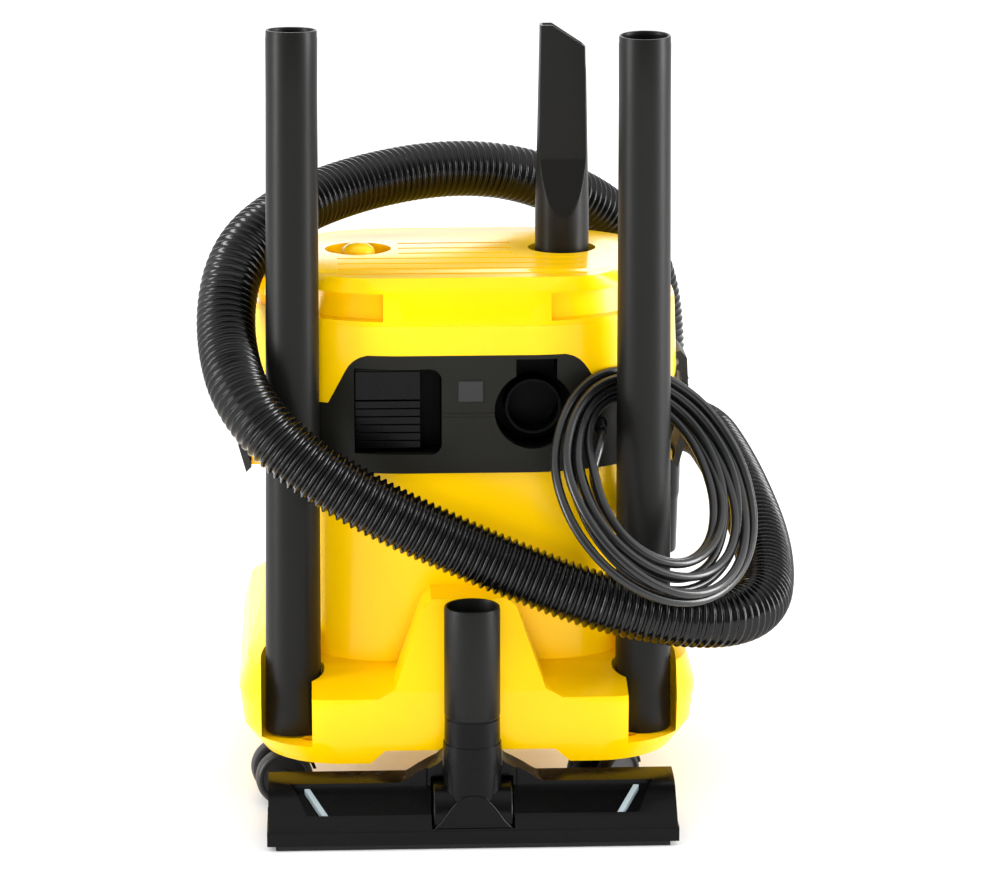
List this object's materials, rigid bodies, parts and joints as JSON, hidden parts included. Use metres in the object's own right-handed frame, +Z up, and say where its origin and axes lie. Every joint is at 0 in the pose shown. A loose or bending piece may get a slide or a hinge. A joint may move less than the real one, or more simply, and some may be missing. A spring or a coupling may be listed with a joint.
{
  "type": "wet and dry vacuum cleaner",
  "caption": "Wheeled canister wet and dry vacuum cleaner with its hose slung round it, pipes and crevice tool parked, floor nozzle at the back.",
  "frame": {"origin": "on the floor under the middle of the machine with its parked tools, cord and hose left out", "axes": "+Z up, +Y towards the front with the hose inlet, -Y the back with the parked floor nozzle, +X the machine's side with the cord coil"},
  "size_m": [0.4298, 0.4645, 0.5595],
  "materials": {
    "yellow_plastic": "smooth gloss moulded plastic",
    "panel_plastic": "charcoal satin moulded plastic",
    "black_plastic": "satin black moulded plastic",
    "pipe_plastic": "matte dark grey extruded plastic",
    "hose_plastic": "satin corrugated plastic",
    "cord_rubber": "smooth flexible cord sheath",
    "grip_grey": "dark grey moulded plastic",
    "steel": "bright steel",
    "soft_rubber": "soft black rubber",
    "strip_grey": "pale grey moulded strip",
    "paper": "pleated filter paper",
    "white_plastic": "white moulded plastic"
  },
  "bodies": {
    "machine": {"chassis": "yellow_plastic", "tank": "yellow_plastic", "head_shell": "yellow_plastic", "head_cover": "yellow_plastic", "rear_panel": "panel_plastic", "outlet_housing": "panel_plastic", "outlet_grille": "panel_plastic", "blower_port": "panel_plastic", "inlet_port": "black_plastic", "inlet_elbow": "black_plastic", "head_base": "black_plastic", "filter_basket": "black_plastic", "filter_cap": "black_plastic", "filter_end_ring": "black_plastic", "power_switch": "black_plastic", "hose_handle": "black_plastic", "hose_cuff": "black_plastic", "cord_gland": "black_plastic", "cord_plug": "black_plastic", "hose_tube": "hose_plastic", "cord_lead": "cord_rubber", "cord_coil": "cord_rubber", "cord_tail": "cord_rubber", "chassis_screws": "steel", "panel_screws": "steel", "handle_pins": "steel", "latch_pins": "steel", "motor": "steel", "tank_seal": "soft_rubber", "motor_mount": "soft_rubber", "filter_cartridge": "paper"},
    "latch_left": {"latch_left": "grip_grey"},
    "latch_right": {"latch_right": "grip_grey"},
    "carry_handle": {"carry_handle": "black_plastic"},
    "power_knob": {"power_knob": "yellow_plastic"},
    "outlet_flap": {"outlet_flap": "panel_plastic"},
    "float_ball": {"float_ball": "white_plastic"},
    "fan_impeller": {"fan_impeller": "white_plastic"},
    "suction_pipe_left": {"suction_pipe_left": "pipe_plastic"},
    "suction_pipe_right": {"suction_pipe_right": "pipe_plastic"},
    "crevice_tool": {"crevice_tool": "pipe_plastic"},
    "nozzle_base": {"nozzle_body": "black_plastic", "nozzle_front_lip": "soft_rubber", "nozzle_rear_lip": "soft_rubber", "nozzle_trim": "strip_grey"},
    "nozzle_neck": {"nozzle_neck": "black_plastic", "nozzle_sleeve": "pipe_plastic"},
    "fork_rear_left": {"castor_fork_rear_left": "black_plastic"},
    "wheels_rear_left": {"castor_wheels_rear_left": "grip_grey"},
    "fork_rear_right": {"castor_fork_rear_right": "black_plastic"},
    "wheels_rear_right": {"castor_wheels_rear_right": "grip_grey"},
    "fork_front_left": {"castor_fork_front_left": "black_plastic"},
    "wheels_front_left": {"castor_wheels_front_left": "grip_grey"},
    "fork_front_right": {"castor_fork_front_right": "black_plastic"},
    "wheels_front_right": {"castor_wheels_front_right": "grip_grey"}
  },
  "joints": [
    {"name": "castor_swivel_rear_left", "type": "hinge", "parent": "machine", "child": "fork_rear_left", "pos_m": [-0.112, -0.086, 0.045], "axis": [0, 0, 1], "continuous": true},
    {"name": "wheel_spin_rear_left", "type": "hinge", "parent": "fork_rear_left", "child": "wheels_rear_left", "pos_m": [-0.13379, -0.08906, 0.0205], "axis": [0.1392, -0.9903, 0], "continuous": true},
    {"name": "castor_swivel_rear_right", "type": "hinge", "parent": "machine", "child": "fork_rear_right", "pos_m": [0.112, -0.086, 0.045], "axis": [0, 0, 1], "continuous": true},
    {"name": "wheel_spin_rear_right", "type": "hinge", "parent": "fork_rear_right", "child": "wheels_rear_right", "pos_m": [0.09728, -0.10235, 0.0205], "axis": [0.7431, -0.6691, 0], "continuous": true},
    {"name": "castor_swivel_front_left", "type": "hinge", "parent": "machine", "child": "fork_front_left", "pos_m": [-0.112, 0.14, 0.045], "axis": [0, 0, 1], "continuous": true},
    {"name": "wheel_spin_front_left", "type": "hinge", "parent": "fork_front_left", "child": "wheels_front_left", "pos_m": [-0.13267, 0.14752, 0.0205], "axis": [-0.342, -0.9397, 0], "continuous": true},
    {"name": "castor_swivel_front_right", "type": "hinge", "parent": "machine", "child": "fork_front_right", "pos_m": [0.112, 0.14, 0.045], "axis": [0, 0, 1], "continuous": true},
    {"name": "wheel_spin_front_right", "type": "hinge", "parent": "fork_front_right", "child": "wheels_front_right", "pos_m": [0.13267, 0.14752, 0.0205], "axis": [-0.342, 0.9397, 0], "continuous": true},
    {"name": "latch_left_hinge", "type": "hinge", "parent": "machine", "child": "latch_left", "pos_m": [-0.155, 0.015, 0.302], "axis": [0, 1, 0], "range_deg": [0, 70]},
    {"name": "latch_right_hinge", "type": "hinge", "parent": "machine", "child": "latch_right", "pos_m": [0.155, 0.015, 0.302], "axis": [0, -1, 0], "range_deg": [0, 70]},
    {"name": "carry_handle_hinge", "type": "hinge", "parent": "machine", "child": "carry_handle", "pos_m": [0, 0.143, 0.36], "axis": [1, 0, 0], "range_deg": [0, 110]},
    {"name": "power_knob_turn", "type": "hinge", "parent": "machine", "child": "power_knob", "pos_m": [-0.075, 0.01, 0.38], "axis": [0, 0, 1], "range_deg": [0, 90]},
    {"name": "outlet_flap_hinge", "type": "hinge", "parent": "machine", "child": "outlet_flap", "pos_m": [-0.056, -0.0985, 0.319], "axis": [-1, 0, 0], "range_deg": [0, 60]},
    {"name": "float_rise", "type": "slide", "parent": "machine", "child": "float_ball", "axis": [0, 0, 1], "range_m": [0, 0.026]},
    {"name": "fan_spin", "type": "hinge", "parent": "machine", "child": "fan_impeller", "pos_m": [0, 0.02, 0.27], "axis": [0, 0, 1], "continuous": true},
    {"name": "pipe_left_lift", "type": "slide", "parent": "machine", "child": "suction_pipe_left", "axis": [0, 0, 1], "range_m": [0, 0.12]},
    {"name": "pipe_right_lift", "type": "slide", "parent": "machine", "child": "suction_pipe_right", "axis": [-0.0087, -0.0471, 0.9989], "range_m": [0, 0.12]},
    {"name": "crevice_tool_lift", "type": "slide", "parent": "machine", "child": "crevice_tool", "axis": [0, 0, 1], "range_m": [0, 0.12]},
    {"name": "nozzle_pull", "type": "slide", "parent": "machine", "child": "nozzle_base", "axis": [0, -1, 0], "range_m": [0, 0.2]},
    {"name": "nozzle_tilt", "type": "hinge", "parent": "nozzle_base", "child": "nozzle_neck", "pos_m": [0, -0.183, 0.022], "axis": [1, 0, 0], "range_deg": [0, 35]}
  ]
}
